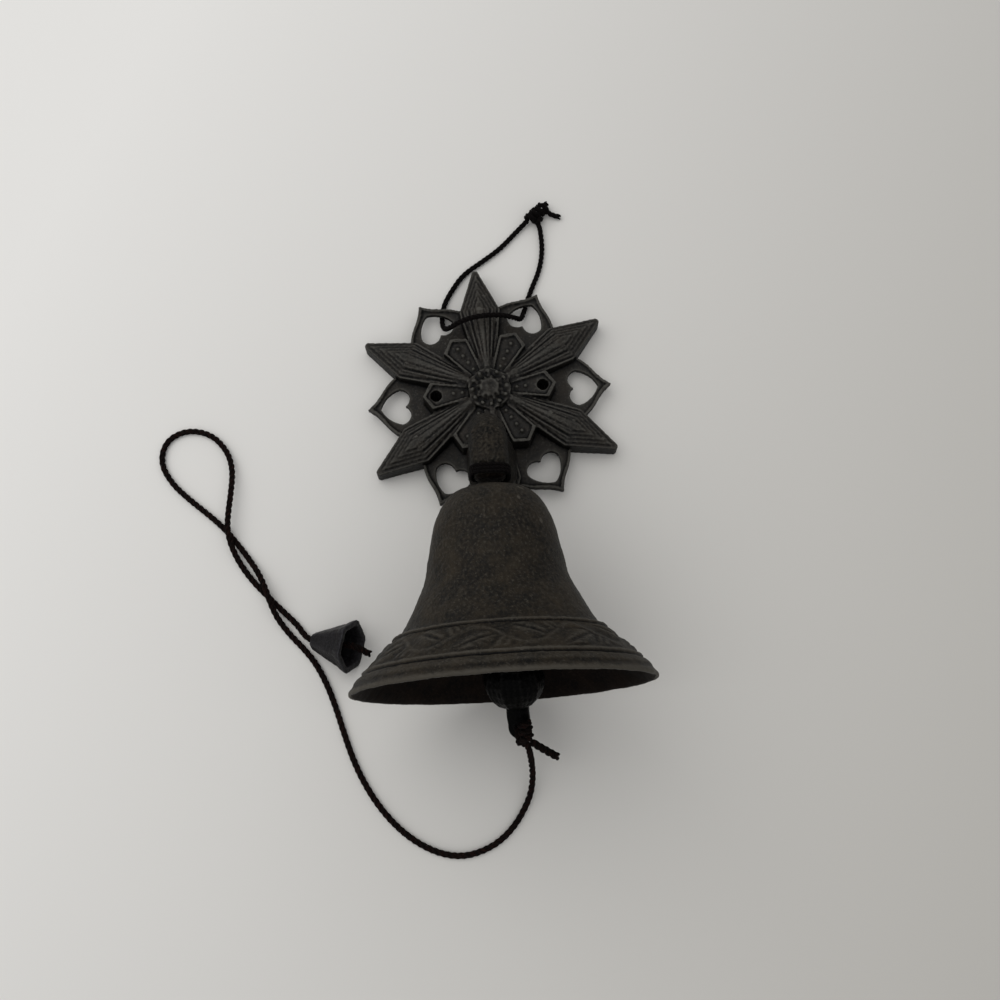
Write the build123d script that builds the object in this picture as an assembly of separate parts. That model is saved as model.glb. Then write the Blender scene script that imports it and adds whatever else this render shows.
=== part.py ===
# Cast-iron dinner bell for a wall: a six-petal plate with a gooseneck arm,
# a bell lashed to the arm's tip, a ball clapper and its pull cord with a cone weight.
# It lies on its back, as on a table. Millimetres. The origin is the middle of the plate's
# flat back, +Y runs up the wall to the top petal and +Z out of the wall.
from build123d import *
import math
import os

# Wall plate: the six petals
petal_count = 6
petal_tip_r = 55.0          # centre of the plate to a petal's tip
petal_wide_r = 35.0         # radius at which a petal is widest
petal_half_w = 8.1
petal_root_r = 5.0
petal_root_half = 2.7
petal_nose_r = 1.3          # rounding of the tip
petal_tip_z = 7.0           # height of the petal's edge at its tip
plate_rise = 0.125          # rise of the casting towards its centre, per millimetre

# Wall plate: the nested steps on each petal
step_count = 4
step_width = 1.5            # width of a terrace beside the petal's middle
step_height = 0.62
step_back = 3.7             # how far each step's tip stands behind the one below

# Wall plate: the six lobes with their heart-shaped openings
lobe_apex_r = 48.0
lobe_shoulder_r = 36.0      # where the lobe's edge leaves the petals
lobe_shoulder_half = 12.5
lobe_ogee = 0.4             # how far the edge's two arcs stand off a straight line
lobe_root_r = 12.0          # where the lobe starts, under the tongue
lobe_root_half = 5.4
lobe_top_z = 5.3
lobe_back_z = 2.8           # the lobes' backs are relieved, so that a cord passes behind
lobe_relief_r = 29.5
ridge_width = 1.3
ridge_height = 0.7          # raised edge round the lobe
apex_inset = 1.4            # the edge's width at the apex, in widths of the edge beside it
heart_notch_r = 33.2
heart_start_r = 31.4        # the heart's inner end, beside its notch
heart_wide_r = 35.0
heart_half_w = 7.3
heart_side_r = 39.7
heart_side_half = 4.8
heart_tip_r = 43.0

# Wall plate: tongues between the petals, with beads and two screw holes
tongue_end_r = 26.0
tongue_corner_r = 22.6
tongue_half_w = 5.5
tongue_root_half = 2.1
tongue_z = 13.6
tongue_border = 1.1
tongue_point = 1.3          # the border's width at the tongue's point, in widths beside it
tongue_recess = 0.8
bead_r = 1.0
bead_sides = 8
bead_top = 0.5              # a bead's top radius, in base radii
bead_sunk = 0.2             # how far a bead's base reaches into what carries it
bead_pitch = 3.4
bead_first_r = 10.6
bead_growth = 0.07          # each bead is this much larger than the one inside it
hole_r = 2.2
hole_pitch = 41.6           # between the two wall screw holes

# Wall plate: centre boss
boss_r = 8.2
boss_z = 15.2
boss_beads = 12
boss_bead_r = 1.25
boss_bead_ring = 6.75       # radius of the ring that the beads' middles are on
rosette_r = 5.5
rosette_flute = 0.8         # depth of the rosette's flutes
rosette_h = 1.9
rosette_taper = 38.0        # degrees

# Bell
mouth_r = 50.5
bell_length = 68.0
bell_wall = 3.0
lip_thick = 2.6
crown_hole_r = 2.3
crown_flat_r = 4.0
crown_edge = (0.018, 0.222)     # outline points: shares of the length and of the mouth's radius
shoulder = [(0.053, 0.300), (0.118, 0.361)]
throat = [(0.206, 0.408), (0.353, 0.447), (0.478, 0.482), (0.588, 0.551)]
flare = (0.713, 0.634)          # here the skin turns outwards, with a raised band on it
groove = (0.910, 0.903)         # the groove between the band and the lip
lip = (0.962, 0.962)
groove_width = 1.2
band_proud = 0.9            # how far the band and the lip stand out of the skin
band_slope = 0.45           # length of the slope at the band's lower edge
flare_margin = 0.5          # the inner wall turns this much before the flare

# Gooseneck arm, turned a little off the plate's upright
hang_turn = -3.0            # degrees about Z
hang_offset = -2.3
root_back = petal_tip_r - 34.0  # from the plate's centre down to the arm's root
root_depth = 20.0
root_left = 8.1
root_right = 10.9
root_corner_r = 5.0
arm_width = 13.4
arm_height = 14.0
arm_corner_r = 4.6
arm_bend_r = 10.0
post_y = root_back + 8.2    # from the plate's centre down to the middle of the post
post_foot_z = 32.0          # the arm's root tapers up to here
nose_tip = post_y + 18.0    # from the plate's centre down to the arm's tip
nose_edge = 2.4             # the bevel round the tip's end
corner_steps = 2            # flat bevels in each of the arm's rounded corners
seat_z = 14.0               # top of the plate's seat, on which the arm stands
seat_inset = 0.5
screw_r = 2.4
screw_head_r = 4.6
screw_head_h = 2.6
screw_bite = 14.0           # length of thread in the arm
screw_clearance = 0.05
screw_end_gap = 0.5         # between the screw's end and the bottom of its hole

# Cords
cord_sides = 6
ring_sides = 8              # straight runs in a small loop of cord
arc_share = 0.45            # how much of the shorter run beside it a cord's arc takes
lump_taper = 0.25           # length of a knot's tapered end, in lengths of the knot
lump_end = 0.6              # radius at a knot's ends, in radii of its middle
pull_cord_d = 2.4
thin_cord_d = 2.2           # hanging loop, and the cords of bell and clapper
lash_cord_d = 1.4
lash_turns = 3
lash_groove = 0.9           # how deep the lashing sits in the arm's tip
lash_press = 0.03           # how far neighbouring turns press into each other
lash_gap = 0.05             # between the cord and its groove
lash_margin = 1.1           # from the arm's tip to the groove
cord_gap = 0.3              # between cords that turn against each other

# Crown cord and clapper
crown_gap = 2.8             # from the arm's tip to the top of the bell
knot_r = 3.3
knot_gap = 0.05             # between the knot and the crown's hole
ball_r = 10.7
ball_ribs = 20
ball_rows = 10
hanger_length = 63.0        # from the clapper's pivot to the middle of its ball
ball_clearance = 0.35       # between the ball and the bell's wall
clapper_side = 8.5          # degrees round the bell's axis, from its lowest line to the ball
root_sink = 0.6             # how far the lugs' roots reach into the ball
eye_width = 6.4
eye_length = 4.9            # from the ball to the eye's end
eye_thick = 2.4
eye_hole_r = 1.6
eye_loop_r = 2.6            # middle line of the cord's loop through the eye
lug_width = 7.9
lug_length = 10.9
lug_thick = 3.0
lug_hole_r = 1.75
lug_loop_r = 3.1
loop_slack = 0.12           # how far a loop stands off the middle of its eye
pull_knot_r = 2.5
pull_knot_length = 9.2
pull_knot_beside = 2.4      # from the lug's middle line sideways to the knot
pull_knot_before = 4.4      # from the lug's middle plane out to the knot

# Pull weight: a hollow hexagonal cone, lying on its side
weight_mouth_r = 10.2
weight_neck_r = 3.4
weight_length = 16.4
weight_wall = 1.6
weight_end = 2.6            # thickness of the closed end
weight_bevel = 0.1          # how much of each side the bevel at a corner takes
weight_hole_r = 1.9
weight_mouth_at = (-61.4, -92.2)
weight_turn = -17.5         # degrees about Z, from +X to the weight's axis
weight_knot_r = 2.5
weight_knot_gap = 1.35      # from the closed end to the knot

# Knot of the hanging loop
hanging_knot_r = 3.2
hanging_knot_length = 12.6
hanging_knot_at = (27.5, 78.2)
hanging_knot_turn = -59.5   # degrees about Z

# Routes of the cords, chosen by hand along the cords as they lie
pull_cord_route = [
    (-1.6, -136.6, 15.6), (-1.1, -140.9, 10.6), (-1.2, -146.0, 6.0), (-2.5, -151.4, 2.8), (-5.2, -156.3, 1.4),
    (-9.1, -161.4, 1.2), (-14.4, -166.0, 1.2), (-20.8, -169.0, 1.2), (-28.9, -170.4, 1.2), (-36.9, -168.5, 1.2),
    (-44.3, -164.2, 1.2), (-51.0, -158.2, 1.2), (-57.1, -150.2, 1.2), (-62.1, -140.8, 1.2), (-65.6, -131.2, 1.2),
    (-68.1, -121.2, 1.2), (-70.3, -111.8, 1.2), (-73.0, -103.0, 1.2), (-76.4, -95.4, 1.2), (-80.4, -89.6, 1.2),
    (-85.0, -84.0, 1.2), (-89.0, -77.8, 2.4), (-90.9, -72.2, 4.4), (-92.2, -67.0, 4.4), (-95.0, -59.4, 2.6),
    (-99.4, -51.9, 1.2), (-103.4, -45.7, 1.2), (-107.2, -40.3, 1.2), (-112.8, -34.2, 1.2), (-119.7, -27.5, 1.2),
    (-126.7, -19.8, 1.2), (-130.9, -10.7, 1.2), (-128.4, -1.9, 1.2), (-120.0, 1.7, 1.2), (-110.7, -1.1, 1.2),
    (-104.7, -8.6, 1.6), (-102.5, -17.0, 2.8), (-103.5, -26.5, 3.8), (-105.0, -35.3, 4.4), (-105.6, -41.2, 4.4),
    (-104.9, -47.2, 3.2), (-102.4, -54.2, 1.6), (-97.8, -61.9, 1.2), (-92.0, -69.0, 1.2), (-86.4, -75.6, 1.2),
    (-82.0, -80.6, 1.2), (-79.6, -84.9, 1.4), (-76.9, -87.3, 2.5), (-72.6, -88.7, 4.1)]
hanging_loop_route = [
    (24.4, 76.6, 2.0), (19.0, 72.1, 1.3), (11.8, 65.5, 1.3), (3.7, 60.5, 1.3), (-4.7, 55.6, 1.3),
    (-10.2, 48.8, 1.3), (-14.0, 42.9, 1.2), (-15.4, 36.3, 1.2), (-15.0, 31.2, 4.1), (-12.9, 28.9, 9.7),
    (-7.8, 29.4, 15.0),
    (0.6, 29.8, 16.8), (8.8, 29.9, 14.8), (14.4, 30.0, 9.6), (16.3, 31.9, 4.2), (18.0, 35.8, 1.3),
    (20.3, 41.6, 1.2), (22.9, 47.0, 1.2), (26.0, 52.6, 1.3), (28.4, 59.6, 1.3), (29.4, 66.6, 1.4), (29.2, 72.2, 2.2)]
pull_knot_tail = [(1.4, -135.2, 16.6), (8.2, -140.3, 13.4)]
weight_knot_tail = [(-58.6, -93.4, 8.6), (-55.4, -95.4, 6.4)]
hanging_knot_tails = [[(31.0, 81.6, 2.6), (33.6, 84.0, 1.6)], [(33.0, 77.9, 2.2), (38.7, 77.2, 1.3)]]

through = 200.0             # longer than anything a cut has to pass through
overshoot = 1.0             # how far a tapered cut runs past a face
halvings = 30               # steps in a search by halves
upright = (Align.CENTER, Align.CENTER, Align.MIN)
axis_z = mouth_r            # the bell lies with its rim on the table
crown_y = nose_tip + crown_gap
hang = Location((hang_offset, 0, 0), (0, 0, hang_turn))
clapper_s = bell_wall + knot_gap + math.sqrt(knot_r ** 2 - crown_hole_r ** 2)


def around(shape, turns=petal_count, start=90.0):
    """The shape, made along +X, copied round the plate's centre."""
    return [Rot(0, 0, start + 360.0 * i / turns) * shape for i in range(turns)]


def joined(shapes):
    """Shapes that touch, as one."""
    first, *rest = shapes
    return first.fuse(*rest).clean()


def ring(plane, outline):
    """The corners of a flat outline, moved onto a plane."""
    return [plane.from_local_coords(corner) for corner in outline]


def polygon(radius, sides):
    """The corners of a regular polygon."""
    return [Vector(radius, 0).rotate(Axis.Z, 360.0 * i / sides) for i in range(sides)]


def through_rings(rings):
    """A solid with flat sides through rings of corners, each ring flat and with as many corners."""
    faces = [make_face(Polyline(*end, close=True)) for end in (rings[0], rings[-1])]
    for low, high in zip(rings, rings[1:]):
        for i in range(len(low)):
            faces.append(make_face(Polyline(low[i - 1], low[i], high[i], high[i - 1], close=True)))
    return Solid(Shell(ShapeList(face.face() for face in faces))).fix()


def save(shape, node):
    """Writes one node, in the frame of the whole object."""
    shape.label = node
    export_step(shape, f"parts/{node}.step")
    print(f"{node}: {len(shape.solids())} solid(s), {shape.volume:.1f} mm3")


def symmetric_face(upper_edges):
    """A face on both sides of the X axis, from the edges of its upper half."""
    edges = [line.edge() for line in upper_edges]
    edges += [mirror(edge, about=Plane.XZ).edge() for edge in edges]
    return make_face(Wire(edges))


def sloped_prism(outline, tip_r, tip_z):
    """An upright prism whose top falls from the plate's centre to tip_z at tip_r."""
    prism = extrude(outline, amount=through)
    lid = Plane(origin=(tip_r, 0, tip_z), x_dir=(0, 1, 0), z_dir=(plate_rise, 0, 1))
    return split(prism, bisect_by=lid, keep=Keep.BOTTOM)


def kite(tip_r, half_w, root_half):
    """A petal's outline, pointing along +X."""
    return make_face(Polyline(
        (petal_root_r, root_half), (petal_wide_r, half_w), (tip_r, 0),
        (petal_wide_r, -half_w), (petal_root_r, -root_half), close=True))


def petal():
    """One petal: a kite with nested kites stepping up towards its middle line."""
    edge = kite(petal_tip_r + petal_nose_r, petal_half_w, petal_root_half)
    tip = edge.vertices().sort_by(Axis.X)[-1]
    levels = [sloped_prism(fillet(tip, petal_nose_r), petal_tip_r, petal_tip_z)]
    for k in range(1, step_count + 1):
        tip_r = petal_tip_r - step_back * k
        half_w = petal_half_w - step_width * k
        root_half = petal_root_half * (1 - k / (step_count + 1))
        top = petal_tip_z + plate_rise * (petal_tip_r - tip_r) + step_height * k
        levels.append(sloped_prism(kite(tip_r, half_w, root_half), tip_r, top))
    return joined(levels)


def lobe_side(inset):
    """The upper half of a lobe's edge: an ogee of two arcs from the petals out to the apex."""
    start = Vector(lobe_shoulder_r, lobe_shoulder_half - inset)
    end = Vector(lobe_apex_r - apex_inset * inset, 0)
    along = end - start
    bulge = lobe_ogee * Vector(-along.Y, along.X).normalized()
    middle = start + along / 2
    return [ThreePointArc(start, start + along / 4 + bulge, middle),
            ThreePointArc(middle, middle + along / 4 - bulge, end)]


def heart():
    """The heart-shaped opening, its point outwards and its notch towards the centre."""
    widest = (heart_wide_r, heart_half_w)
    return symmetric_face([ThreePointArc((heart_notch_r, 0), (heart_start_r, heart_half_w / 2), widest),
                           ThreePointArc(widest, (heart_side_r, heart_side_half), (heart_tip_r, 0))])


def lobe():
    """One lobe: a relieved frame round a heart, with a ridge along its edge."""
    side = lobe_side(0)
    root = (lobe_root_r, lobe_root_half)
    plan = symmetric_face([Line((lobe_root_r, 0), root), Line(root, side[0] @ 0), *side])
    outer, inner = (
        symmetric_face([Line((lobe_shoulder_r, 0), line[0] @ 0), *line]) for line in (side, lobe_side(ridge_width)))
    ridge = extrude(outer, amount=lobe_top_z + ridge_height) - extrude(inner, amount=through)
    behind = (Align.MIN, Align.CENTER, Align.CENTER)
    relief = Pos(lobe_relief_r, 0, 0) * Box(through, through, 2 * lobe_back_z, align=behind)
    return extrude(plan, amount=lobe_top_z) + ridge - extrude(heart(), amount=through) - relief


def bead(radius, place_r, ground_z):
    """A low eight-sided bead on the X axis, with a flat top."""
    foot, top = (Plane((place_r, 0, z)) for z in (ground_z - bead_sunk, ground_z + radius))
    return through_rings([ring(foot, polygon(radius, bead_sides)), ring(top, polygon(bead_top * radius, bead_sides))])


def tongue(beads):
    """A raised tongue on a lobe's middle line, with a bordered floor and a row of beads."""
    def outline(inset):
        return make_face(Polyline(
            (petal_root_r, tongue_root_half - inset), (tongue_corner_r - inset, tongue_half_w - inset),
            (tongue_end_r - tongue_point * inset, 0), (tongue_corner_r - inset, inset - tongue_half_w),
            (petal_root_r, inset - tongue_root_half), close=True))
    floor_z = tongue_z - tongue_recess
    shape = extrude(outline(0), amount=tongue_z)
    shape -= Pos(0, 0, floor_z) * extrude(outline(tongue_border), amount=through)
    for i in range(beads):
        shape += bead(bead_r * (1 + bead_growth * i), bead_first_r + bead_pitch * i, floor_z)
    return shape


def boss():
    """The round boss in the middle: a fluted rosette inside a ring of beads."""
    points = []
    for i in range(2 * boss_beads):
        r = rosette_r if i % 2 else rosette_r - rosette_flute
        a = math.pi * i / boss_beads
        points.append((r * math.cos(a), r * math.sin(a)))
    star = make_face(Polyline(*points, close=True))
    shape = Cylinder(boss_r, boss_z, align=upright)
    shape += Pos(0, 0, boss_z) * extrude(star, amount=rosette_h, taper=rosette_taper)
    for one in around(bead(boss_bead_r, boss_bead_ring, boss_z), boss_beads, 0):
        shape += one
    return shape


def bevelled(width, height, corner_r):
    """The corners of a rectangle whose rounded corners are flat bevels."""
    across, up = width / 2 - corner_r, height / 2 - corner_r
    points = []
    for quarter, (side, top) in enumerate([(1, 1), (-1, 1), (-1, -1), (1, -1)]):
        for step in range(corner_steps + 1):
            a = math.pi / 2 * (quarter + step / corner_steps)
            points.append(Vector(side * across + corner_r * math.cos(a), top * up + corner_r * math.sin(a)))
    return points


def root_outline(inset):
    """The outline of the arm's root, or of the seat under it."""
    middle = Vector((root_right - root_left) / 2, -(root_back + root_depth / 2))
    size = (root_left + root_right - 2 * inset, root_depth - 2 * inset)
    return [middle + corner for corner in bevelled(*size, root_corner_r - inset)]


def arm_screw(clearance, length):
    """A countersunk screw, its flat head in the plate's back."""
    head = Cone(screw_head_r + clearance, screw_r + clearance, screw_head_h, align=upright)
    shank = Cylinder(screw_r + clearance, length, align=upright)
    return Pos((root_right - root_left) / 2, -(root_back + root_depth / 2), 0) * (head + shank)


def wall_plate():
    """The whole casting, with its seat for the arm and the screw hole behind it."""
    plate = joined(around(petal()) + around(lobe(), start=0.0))
    for i in range(petal_count):
        on_screw_line = i % (petal_count // 2) == 0
        plate += Rot(0, 0, 360.0 * i / petal_count) * tongue(2 if on_screw_line else 4)
    plate += boss()
    plate += hang * through_rings([ring(Plane((0, 0, z)), root_outline(seat_inset)) for z in (0, seat_z)])
    for side in (-1, 1):
        plate -= Pos(side * hole_pitch / 2, 0, 0) * Cylinder(hole_r, through)
    return plate - hang * arm_screw(screw_clearance, through)


def arm_corners(depth):
    """The corners of the arm's cross-section, cut back by depth all round."""
    return bevelled(arm_width - 2 * depth, arm_height - 2 * depth, arm_corner_r - depth)


def arm_section(depth):
    """The arm's cross-section, cut back by depth all round."""
    return make_face(Polyline(*arm_corners(depth), close=True))


def lash_width():
    """The width of the lashing's groove."""
    return lash_turns * lash_cord_d - (lash_turns - 1) * lash_press + 2 * lash_gap


def bracket_arm():
    """The gooseneck: a tapered root, a bent post and a nose with a groove for the lashing."""
    foot = (0, -post_y, post_foot_z)
    path = FilletPolyline(foot, (0, -post_y, axis_z), (0, -nose_tip, axis_z), radius=arm_bend_r)
    neck = sweep(Plane(origin=foot) * arm_section(0), path=path)
    neck = chamfer(neck.faces().sort_by(Axis.Y)[0].edges(), nose_edge)
    root = through_rings([ring(Plane((0, 0, seat_z)), root_outline(0)), ring(Plane(foot), arm_corners(0))])
    groove = Plane(origin=(0, -nose_tip + lash_margin, axis_z), x_dir=(1, 0, 0), z_dir=(0, 1, 0))
    cut = extrude(groove * (Circle(arm_width + arm_height) - arm_section(lash_groove)), amount=lash_width())
    return root + neck - cut - arm_screw(screw_clearance, seat_z + screw_bite)


def cord_section(diameter):
    """A cord's section. Its flat sides keep the model light."""
    return RegularPolygon(diameter / 2, cord_sides)


def closed_cord(path, axis, diameter):
    """A loop of cord along a closed path of straight runs round an axis."""
    start = Plane(origin=path @ 0, x_dir=axis, z_dir=path % 0) * cord_section(diameter)
    return sweep(start, path=path, transition=Transition.RIGHT)


def arm_lashing():
    """The turns of thin cord in the groove of the arm's tip."""
    sunk = lash_groove - lash_gap - lash_cord_d / 2
    turns = []
    for i in range(lash_turns):
        y = -nose_tip + lash_margin + lash_gap + lash_cord_d / 2 + (lash_cord_d - lash_press) * i
        place = Plane(origin=(0, y, axis_z), x_dir=(1, 0, 0), z_dir=(0, 1, 0))
        path = (place * arm_section(sunk)).face().outer_wire()
        turns.append(closed_cord(path, (0, 1, 0), lash_cord_d))
    return joined(turns)


def at_bell(s, r=0.0):
    """A point in the bell's length plane: s down from its top, r from its axis away from the table."""
    return Vector(0, -(crown_y + s), axis_z + r)


def on_outline(point):
    """A point of the bell's outline in millimetres: how far down from its top, and its radius."""
    return Vector(point[0] * bell_length, point[1] * mouth_r)


def skin():
    """The bell's outer skin without its bands, its axis along X, as straight lines from the crown down."""
    start, end = Vector(0, crown_flat_r), Vector(bell_length, mouth_r - band_proud)
    corners = [on_outline(point) for point in (crown_edge, *shoulder, *throat, flare, groove, lip)]
    return Polyline(start, *corners, end).edges()


def off_skin(s, out):
    """A point at a distance s down the bell, moved out of its skin."""
    line = next(line for line in skin() if s <= (line @ 1).X + overshoot / through)
    low, high = 0.0, 1.0
    for _ in range(halvings):
        middle = (low + high) / 2
        low, high = (middle, high) if (line @ middle).X < s else (low, middle)
    along = line % high
    return line @ high + out * Vector(-along.Y, along.X)


def inside():
    """The bell's inner wall: a wall's thickness inside the throat, then straight to the lip."""
    stations = [point[0] * bell_length for point in (crown_edge, *shoulder, *throat)]
    corners = [off_skin(s, -bell_wall) for s in (*stations, flare[0] * bell_length - flare_margin)]
    return Polyline((bell_wall, crown_flat_r), *corners, (bell_length, mouth_r - lip_thick)).edges()


def band(stations, slope):
    """A raised band on the skin, as a face, with a step at its start and a slope after its last station."""
    top = [off_skin(s, band_proud) for s in stations]
    end = stations[-1] + slope
    under = [off_skin(s, -bell_wall / 2) for s in (*stations[:-1], end)]
    return make_face(Polyline(off_skin(stations[0], 0), *top, off_skin(end, 0), *under[::-1], close=True))


def bell():
    """The bell: one turned shell with a raised band, a groove and a lip."""
    outer, inner = skin(), inside()
    crown = Polyline(inner[0] @ 0, (bell_wall, crown_hole_r), (0, crown_hole_r), outer[0] @ 0)
    rim = Line(outer[-1] @ 1, inner[-1] @ 1).edge()
    section = make_face(Wire([*outer, rim, *inner, *crown.edges()]))
    down, lip_s = groove[0] * bell_length, lip[0] * bell_length
    section += band([flare[0] * bell_length, down - groove_width / 2 - band_slope], band_slope)
    section += band([down + groove_width / 2, lip_s, bell_length], 0)
    length_plane = Plane(origin=at_bell(0), x_dir=(0, -1, 0), z_dir=(-1, 0, 0))
    return revolve(length_plane * section, axis=Axis(at_bell(0), (0, -1, 0)))


def cord(points, diameter, name):
    """A cord's tube along straight runs and tangent arcs; prints its length and its tightest bend."""
    corners = [Vector(*p) for p in points]
    radii = []
    for before, at, after in zip(corners, corners[1:], corners[2:]):
        shorter = min((at - before).length, (after - at).length)
        half_turn = math.radians((at - before).get_angle(after - at)) / 2
        radii.append(arc_share * shorter / math.tan(half_turn))
    path = FilletPolyline(*corners, radius=radii)
    section = Plane(origin=path @ 0, z_dir=path % 0) * cord_section(diameter)
    tube = sweep(section, path=path)
    share = tube.volume / (section.area * path.length)
    print(f"{name}: {path.length:.1f} mm long, bends {min(radii):.1f} mm and more, volume share {share:.3f}")
    return tube


def straight_cord(start, end, diameter):
    """A straight piece of cord."""
    start, end = Vector(start), Vector(end)
    return extrude(Plane(origin=start, z_dir=end - start) * cord_section(diameter), amount=(end - start).length)


def cord_ring(radius, diameter):
    """A small closed loop of cord round the Z axis."""
    path = RegularPolygon(radius, ring_sides, major_radius=False).face().outer_wire()
    return closed_cord(path, (0, 0, 1), diameter)


def lump(length, radius):
    """A knot's plain shape: a six-sided barrel along X, narrower at both ends."""
    tapered = (0.5 - lump_taper) * length
    stations = [(-length / 2, lump_end), (-tapered, 1), (tapered, 1), (length / 2, lump_end)]
    return through_rings([ring(Plane.YZ.offset(x), polygon(share * radius, cord_sides)) for x, share in stations])


def crown_cord():
    """The cord through the crown: a strand up to the bell's pivot, and the knot inside."""
    knot = Pos(at_bell(clapper_s)) * ribbed_ball(knot_r, 2 * cord_sides, cord_sides)
    return knot + straight_cord(at_bell(clapper_s), at_bell(-crown_gap / 2), thin_cord_d)


def rest_angle():
    """The clapper's tilt from the bell's axis, in degrees, when its ball lies on the wall."""
    wall = Wire(inside())
    low, high = 0.0, 60.0
    for _ in range(halvings):
        middle = (low + high) / 2
        a = math.radians(middle)
        ball = (clapper_s + hanger_length * math.cos(a), hanger_length * math.sin(a), 0)
        clear = wall.distance_to(Vertex(*ball)) > ball_r + ball_clearance
        low, high = (middle, high) if clear else (low, middle)
    return low


clapper_tilt = rest_angle()


def on_clapper(distance):
    """A place on the clapper's line, at a distance from its pivot, with X along the line."""
    down_the_bell = Location(tuple(at_bell(clapper_s)), (0, 0, -90))
    return down_the_bell * Rot(clapper_side, 0, 0) * Rot(0, clapper_tilt, 0) * Pos(distance, 0, 0)


def ribbed_ball(radius, sides, rows):
    """A ball along X in flat ribs, as a rough casting or a tight knot shows them."""
    rings = []
    for i in range(rows + 1):
        a = math.pi * ((i + 0.5) / (rows + 1) - 0.5)
        rings.append(ring(Plane.YZ.offset(radius * math.sin(a)), polygon(radius * math.cos(a), sides)))
    return through_rings(rings)


def eye_plate(width, length, thick, hole):
    """A flat lug with an eye, along +X from the ball's surface."""
    to_eye = length - width / 2
    bar = Pos(-root_sink, 0, 0) * Box(to_eye + root_sink, width, thick, align=(Align.MIN, Align.CENTER, Align.CENTER))
    return bar + Pos(to_eye, 0, 0) * Cylinder(width / 2, thick) - Pos(to_eye, 0, 0) * Cylinder(hole, through)


def clapper():
    """The cast ball, with an eye at its top and a larger lug below."""
    lug = Pos(ball_r, 0, 0) * eye_plate(lug_width, lug_length, lug_thick, lug_hole_r)
    eye = Rot(0, 0, 180) * Pos(ball_r, 0, 0) * eye_plate(eye_width, eye_length, eye_thick, eye_hole_r)
    return on_clapper(hanger_length) * (ribbed_ball(ball_r, ball_ribs, ball_rows) + lug + eye)


def clapper_hanger():
    """The cord that carries the clapper, from under the crown's knot to the loop in the upper eye."""
    loop_at = hanger_length - ball_r - eye_length + eye_width / 2 - eye_loop_r + loop_slack
    loop = on_clapper(loop_at) * Rot(90, 0, 0) * cord_ring(eye_loop_r, thin_cord_d)
    start = on_clapper(knot_r + cord_gap).position
    return loop + straight_cord(start, on_clapper(loop_at - eye_loop_r).position, thin_cord_d)


def pull_knot():
    """The pull cord's loop through the lug and round its edge, the knot in front and the short tail."""
    eye = on_clapper(hanger_length + ball_r + lug_length - lug_width / 2)
    loop = eye * Pos(0, lug_loop_r - loop_slack, 0) * Rot(0, 90, 0) * cord_ring(lug_loop_r, pull_cord_d)
    knot_at = eye * Pos(0, pull_knot_beside, pull_knot_before)
    tail = cord([tuple((hang * knot_at).position), *pull_knot_tail], pull_cord_d, "tail of the pull knot")
    return hang * (loop + knot_at * lump(pull_knot_length, pull_knot_r)) + tail


def weight_place(distance):
    """A place on the cone weight's axis, with X from its neck to its mouth, one side flat on the table."""
    flat = math.cos(math.radians(30))
    tilt = math.atan((weight_mouth_r - weight_neck_r) * flat / weight_length)
    mouth = Location((*weight_mouth_at, weight_mouth_r * flat * math.cos(tilt)), (0, 0, weight_turn))
    return mouth * Location((0, 0, 0), (0, -math.degrees(tilt), 0)) * Location((distance - weight_length, 0, 0))


def weight_corners(x, radius):
    """The weight's outline across its axis: a hexagon with a flat side down and bevelled corners."""
    corners = [Vector(radius, 0).rotate(Axis.Z, 60 * i) for i in range(6)]
    outline = []
    for before, at, after in zip(corners[-1:] + corners, corners, corners[1:] + corners[:1]):
        outline += [at + weight_bevel * (before - at), at + weight_bevel * (after - at)]
    return ring(Plane(origin=(x, 0, 0), x_dir=(0, 1, 0), z_dir=(1, 0, 0)), outline)


def pull_weight():
    """The hollow six-sided cone on the end of the pull cord."""
    grow = (weight_mouth_r - weight_neck_r) / weight_length
    outer = through_rings([weight_corners(0, weight_neck_r), weight_corners(weight_length, weight_mouth_r)])
    cut_end = weight_length + overshoot
    inner = through_rings([weight_corners(x, weight_neck_r + grow * x - weight_wall) for x in (weight_end, cut_end)])
    hole = Rot(0, 90, 0) * Cylinder(weight_hole_r, through)
    return weight_place(0) * (outer - inner - hole)


def weight_knot():
    """The knot that keeps the weight on its cord, with the cord's short end out of the mouth."""
    knot_at = weight_place(weight_end + weight_knot_gap + weight_knot_r)
    knot = knot_at * lump(2 * weight_knot_r, weight_knot_r)
    return knot + cord([tuple(knot_at.position), *weight_knot_tail], pull_cord_d, "end in the weight")


def hanging_knot():
    """The knot that closes the hanging loop, with its two short ends."""
    middle = (*hanging_knot_at, hanging_knot_r)
    knot = Location(middle, (0, 0, hanging_knot_turn)) * lump(hanging_knot_length, hanging_knot_r)
    for tail in hanging_knot_tails:
        knot += cord([middle, *tail], thin_cord_d, "end at the hanging knot")
    return knot


os.makedirs("parts", exist_ok=True)
save(wall_plate(), "wall_plate")
save(hang * bracket_arm(), "bracket_arm")
save(hang * arm_screw(0, seat_z + screw_bite - screw_end_gap), "arm_screw")
save(hang * arm_lashing(), "arm_lashing")
save(hang * bell(), "bell")
save(hang * crown_cord(), "crown_cord")
save(hang * clapper(), "clapper")
save(hang * clapper_hanger(), "clapper_hanger")
save(pull_knot(), "pull_knot")
save(cord(pull_cord_route, pull_cord_d, "pull cord"), "pull_cord")
save(pull_weight(), "pull_weight")
save(weight_knot(), "weight_knot")
save(cord(hanging_loop_route, thin_cord_d, "hanging loop"), "hanging_loop")
save(hanging_knot(), "hanging_knot")

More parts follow.
